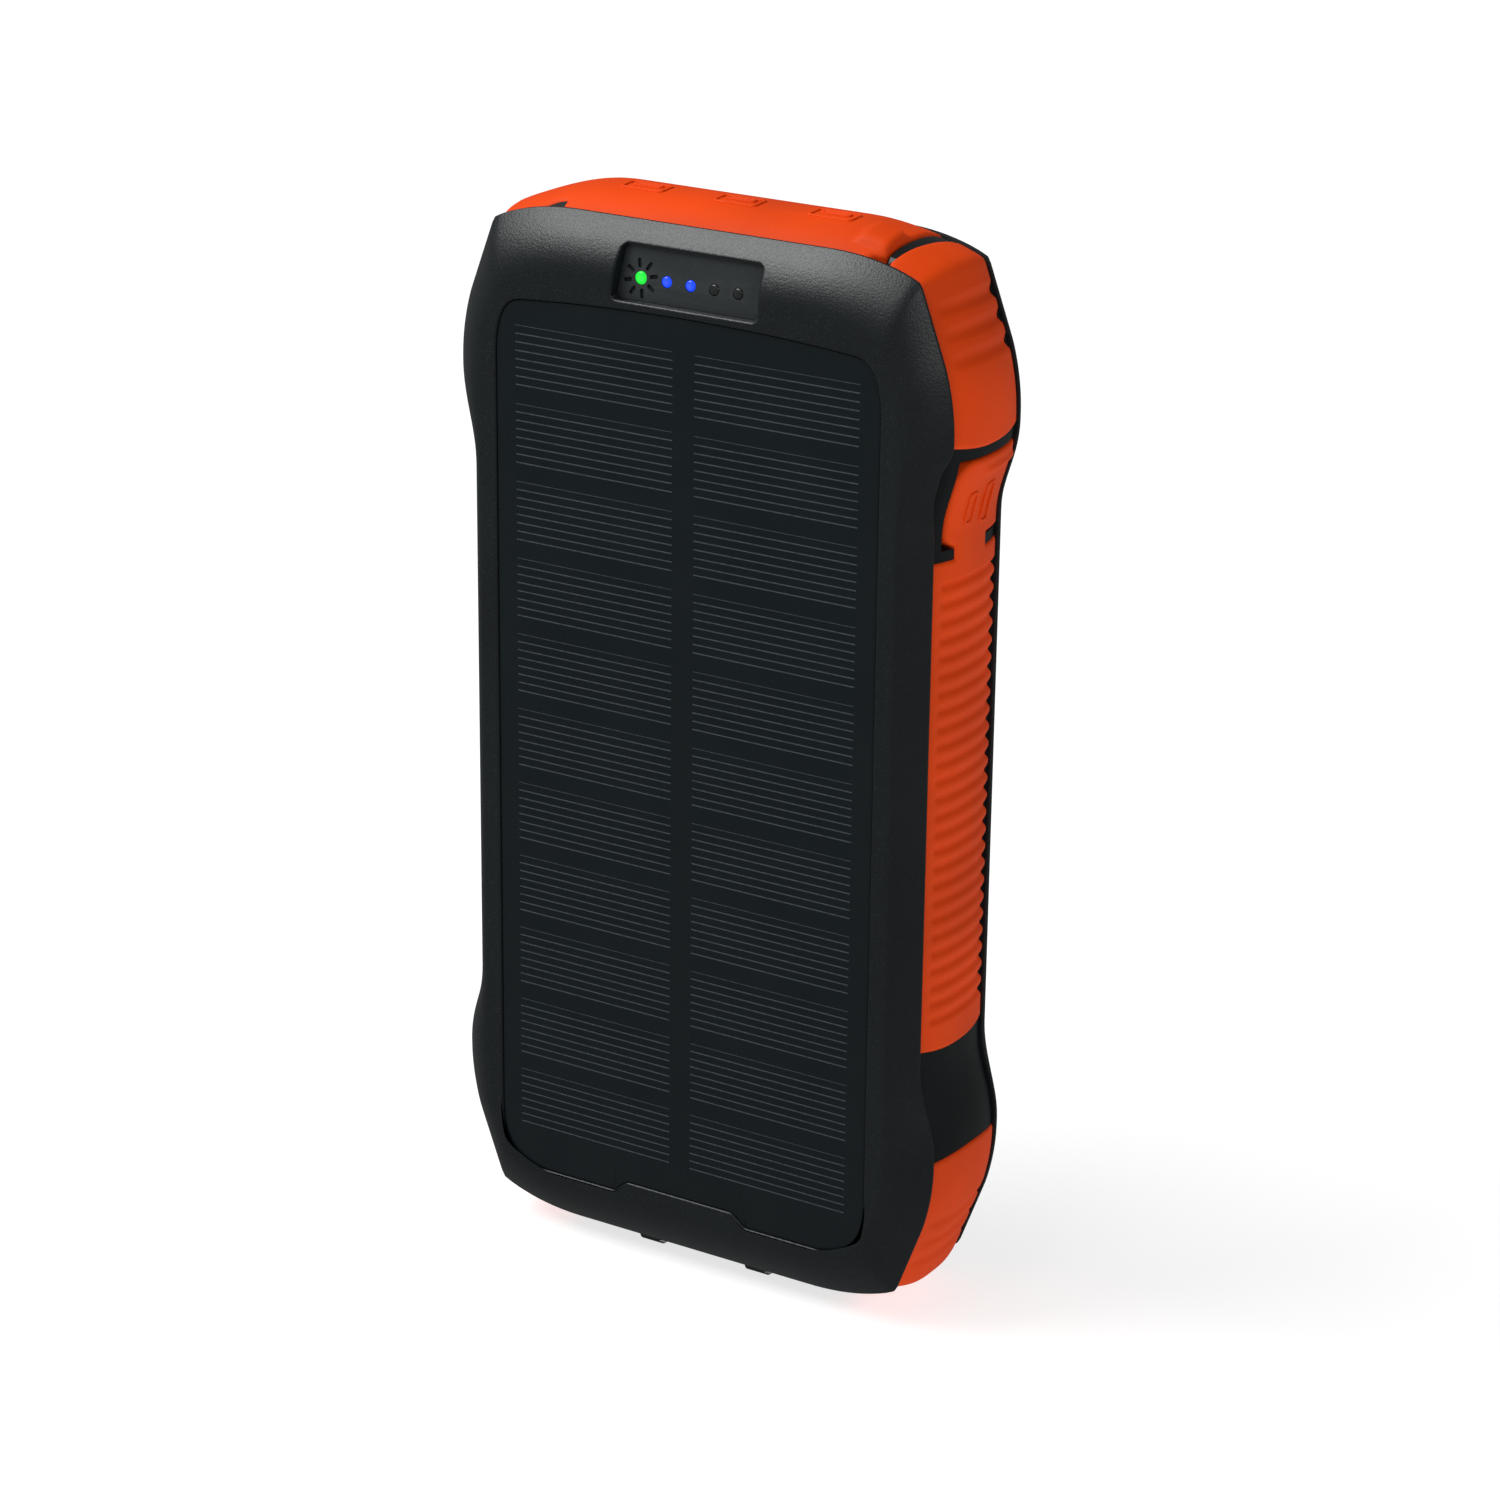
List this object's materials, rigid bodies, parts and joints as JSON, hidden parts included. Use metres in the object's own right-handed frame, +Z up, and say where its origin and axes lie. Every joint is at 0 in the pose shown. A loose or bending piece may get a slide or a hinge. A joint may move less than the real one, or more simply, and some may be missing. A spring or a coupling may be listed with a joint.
{
  "type": "solar power bank",
  "caption": "Rugged portable battery with a solar panel on its front, rubber corner bumpers and side grips, charge lights, and hinged rubber flaps over its ports.",
  "frame": {"origin": "centre of the bounding box's base, on the plane that the two feet stand on", "axes": "+Z up along the case's length, -Y out of the solar panel, +X towards the side with the charging inputs"},
  "size_m": [0.0902, 0.03, 0.175],
  "materials": {
    "shell_black": "fine moulded grain",
    "rubber_orange": "matte, fine grain",
    "rubber_black": "matte",
    "panel_laminate": "satin laminate over dark cells with thin grey fingers",
    "window_smoked": "satin smoked plastic",
    "light_green": "clear, lit green",
    "light_blue": "clear, lit blue",
    "light_unlit": "clear over dark, unlit",
    "lens_clear": "clear polycarbonate",
    "reflector_silver": "metallised",
    "steel": "nickel plated",
    "board_green": "solder mask",
    "chip_black": "moulded epoxy",
    "led_body": "diffuse",
    "cell_foil": "laminated pouch foil",
    "foam": "open cell foam",
    "tape": "adhesive film",
    "lead_red": "insulated lead"
  },
  "bodies": {
    "case": {"front_cover": "shell_black", "middle_frame": "shell_black", "rear_cover": "shell_black", "front_gasket": "rubber_black", "rear_gasket": "rubber_black", "foot_left": "rubber_black", "foot_right": "rubber_black", "case_screw_1": "steel", "case_screw_2": "steel", "case_screw_3": "steel", "case_screw_4": "steel", "usb_a_port_1": "steel", "usb_a_port_2": "steel", "usb_a_port_3": "steel", "usb_c_port": "steel", "micro_usb_port": "steel", "solar_panel": "panel_laminate", "panel_adhesive": "tape", "panel_lead": "lead_red", "battery_lead": "lead_red", "indicator_window": "window_smoked", "sun_light_pipe": "light_green", "level_1_light_pipe": "light_blue", "level_2_light_pipe": "light_blue", "level_3_light_pipe": "light_unlit", "level_4_light_pipe": "light_unlit", "sun_led": "led_body", "level_1_led": "led_body", "level_2_led": "led_body", "level_3_led": "led_body", "level_4_led": "led_body", "indicator_board": "board_green", "main_board": "board_green", "torch_board": "board_green", "board_header": "chip_black", "power_switch": "chip_black", "power_inductor": "chip_black", "control_chip": "chip_black", "smoothing_capacitor": "cell_foil", "battery_cell_1": "cell_foil", "battery_cell_2": "cell_foil", "battery_cell_3": "cell_foil", "battery_pad_front": "foam", "battery_pad_rear": "foam", "torch_lens_left": "lens_clear", "torch_lens_right": "lens_clear", "torch_reflector_left": "reflector_silver", "torch_reflector_right": "reflector_silver", "upper_bumper_left": "rubber_orange", "upper_bumper_right": "rubber_orange", "lower_bumper_left": "rubber_orange", "lower_bumper_right": "rubber_orange", "side_grip_left": "rubber_orange", "side_grip_right": "rubber_orange"},
    "top_flap": {"top_flap": "rubber_orange"},
    "side_flap": {"side_flap": "rubber_orange"},
    "power_button": {"power_button": "rubber_black"}
  },
  "joints": [
    {"name": "top_flap_hinge", "type": "hinge", "parent": "case", "child": "top_flap", "pos_m": [-0.027, 0, 0.17407], "axis": [0, -1, 0], "range_deg": [0, 135], "stiffness_Nm_per_rad": 0.004},
    {"name": "side_flap_hinge", "type": "hinge", "parent": "case", "child": "side_flap", "pos_m": [0.0423, 0, 0.12675], "axis": [0, 1, 0], "range_deg": [0, 120], "stiffness_Nm_per_rad": 0.001},
    {"name": "power_button_press", "type": "slide", "parent": "case", "child": "power_button", "axis": [1, 0, 0], "range_m": [0, 0.0006], "stiffness_N_per_m": 2500}
  ]
}
